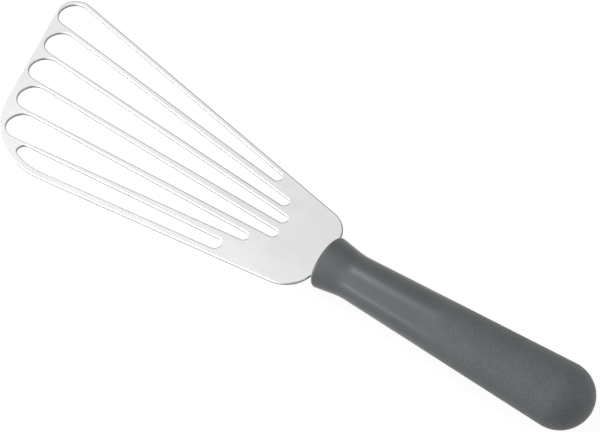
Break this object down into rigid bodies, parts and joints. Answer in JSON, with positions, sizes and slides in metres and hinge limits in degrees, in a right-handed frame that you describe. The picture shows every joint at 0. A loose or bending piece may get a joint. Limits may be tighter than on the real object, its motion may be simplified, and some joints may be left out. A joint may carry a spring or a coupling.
{
  "type": "fish spatula",
  "caption": "Fish spatula with a thin, flat, fan-shaped steel blade cut by tapered through slots, a slanted leading edge and a plain plastic grip moulded over the tang.",
  "frame": {"origin": "under the middle of the whole part, at the height of the lowest point of the grip's butt", "axes": "+X runs along the grip from its butt to the blade's tip, +Z is the normal of the blade's upper face, and +Y is towards the blade's short side"},
  "size_m": [0.299, 0.0894, 0.0249],
  "materials": {
    "blade": "satin, fine brushed",
    "handle": "satin moulded plastic with a fine grain"
  },
  "bodies": {
    "root": {"blade": "blade", "handle": "handle"}
  },
  "joints": []
}
